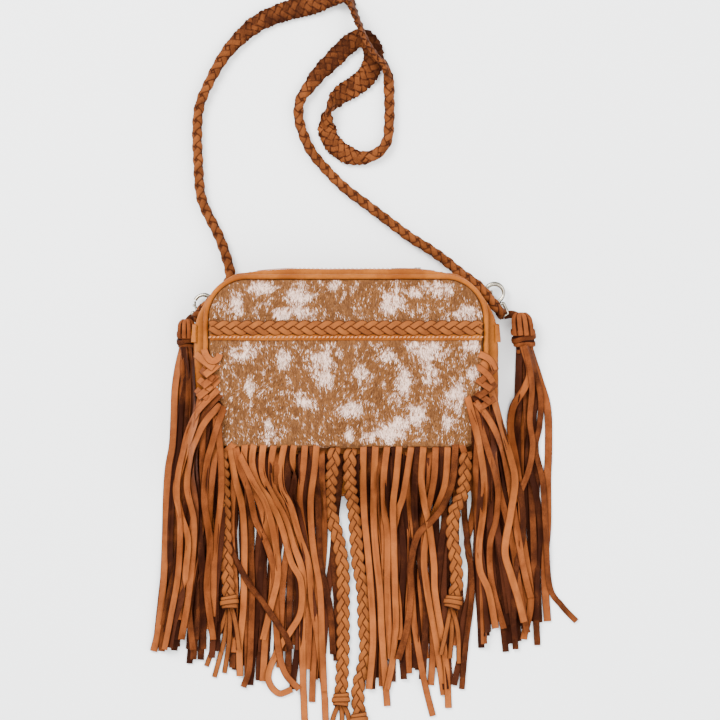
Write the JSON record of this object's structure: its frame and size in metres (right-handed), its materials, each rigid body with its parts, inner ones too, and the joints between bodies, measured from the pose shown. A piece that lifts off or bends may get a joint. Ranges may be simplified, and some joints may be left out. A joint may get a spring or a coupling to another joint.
{
  "type": "fringed leather crossbody bag",
  "caption": "Small crossbody bag with a hair-on hide front, braided trim and strap, clasps, tassels and long suede fringe.",
  "frame": {"origin": "on the back panel's flat underside, level with the middle of the front panel", "axes": "+X to the bag's right as seen from the front, +Y to its top edge and strap, +Z out of its front panel; it lies on its back"},
  "size_m": [0.4012, 0.7382, 0.0537],
  "materials": {
    "hide": "hair-on cowhide, brown and white speckle",
    "leather": "smooth caramel leather",
    "braid_leather": "caramel leather lace with a suede back",
    "suede": "split leather, suede side reddish brown",
    "zip_tape": "woven brown tape",
    "lining_cloth": "plain brown cotton",
    "nickel": "polished nickel plate"
  },
  "bodies": {
    "bag": {"back_panel": "leather", "front_panel": "hide", "pocket_panel": "hide", "pocket_band": "leather", "pocket_braid": "braid_leather", "gusset": "leather", "zip_panel_front": "leather", "zip_panel_back": "leather", "zip_tape_front": "zip_tape", "zip_tape_back": "zip_tape", "lining": "lining_cloth", "piping": "leather", "side_tab_left": "leather", "side_tab_right": "leather", "ring_loop_left": "leather", "ring_loop_right": "leather", "clasp_eye_left": "nickel", "clasp_eye_right": "nickel", "strap": "braid_leather", "tassel_knot_left": "suede", "tassel_knot_right": "suede", "tassel_left": "suede", "tassel_right": "suede", "braided_drop_a": "suede", "braided_drop_b": "suede", "braided_drop_c": "suede", "braided_drop_d": "suede", "side_thong_left_1": "suede", "side_thong_left_2": "suede", "side_thong_left_3": "suede", "side_thong_right_1": "suede", "side_thong_right_2": "suede", "side_thong_right_3": "suede", "thong_01": "suede", "thong_02": "suede", "thong_03": "suede", "thong_04": "suede", "thong_05": "suede", "thong_06": "suede", "thong_07": "suede", "thong_08": "suede", "thong_09": "suede", "thong_10": "suede", "thong_11": "suede", "thong_12": "suede", "thong_13": "suede", "thong_14": "suede", "thong_15": "suede", "thong_16": "suede", "thong_17": "suede", "thong_18": "suede"},
    "zip_slider": {"zip_slider": "nickel"},
    "zip_pull": {"zip_pull": "nickel"},
    "d_ring_left": {"d_ring_left": "nickel"},
    "d_ring_right": {"d_ring_right": "nickel"},
    "clasp_hook_left": {"clasp_hook_left": "nickel"},
    "clasp_hook_right": {"clasp_hook_right": "nickel"},
    "clasp_gate_left": {"clasp_gate_left": "nickel"},
    "clasp_gate_right": {"clasp_gate_right": "nickel"}
  },
  "joints": [
    {"name": "zip_slide", "type": "slide", "parent": "bag", "child": "zip_slider", "axis": [-1, 0, 0], "range_m": [0, 0.12]},
    {"name": "zip_pull_hinge", "type": "hinge", "parent": "zip_slider", "child": "zip_pull", "pos_m": [0.069, 0.09065, 0.022], "axis": [0, 0, -1], "range_deg": [0, 150]},
    {"name": "d_ring_left_hinge", "type": "hinge", "parent": "bag", "child": "d_ring_left", "pos_m": [-0.1352, 0.0425, 0.0085], "axis": [0, 0, 1], "range_deg": [-12, 4]},
    {"name": "d_ring_right_hinge", "type": "hinge", "parent": "bag", "child": "d_ring_right", "pos_m": [0.1395, 0.0545, 0.0085], "axis": [0, 0, 1], "range_deg": [-12, 5]},
    {"name": "clasp_swivel_left", "type": "hinge", "parent": "bag", "child": "clasp_hook_left", "pos_m": [-0.1376, 0.057, 0.0085], "axis": [0.561, 0.8278, 0], "range_deg": [-15, 15]},
    {"name": "clasp_gate_left_hinge", "type": "hinge", "parent": "clasp_hook_left", "child": "clasp_gate_left", "pos_m": [-0.14435, 0.05136, 0.0085], "axis": [0, 0, -1], "range_deg": [0, 20], "stiffness_Nm_per_rad": 0.004, "springref_deg": -11.46},
    {"name": "clasp_swivel_right", "type": "hinge", "parent": "bag", "child": "clasp_hook_right", "pos_m": [0.1434, 0.0676, 0.0085], "axis": [-0.3903, 0.9207, 0], "range_deg": [-15, 15]},
    {"name": "clasp_gate_right_hinge", "type": "hinge", "parent": "clasp_hook_right", "child": "clasp_gate_right", "pos_m": [0.14447, 0.05887, 0.0085], "axis": [0, 0, -1], "range_deg": [0, 20], "stiffness_Nm_per_rad": 0.004, "springref_deg": -11.46}
  ]
}
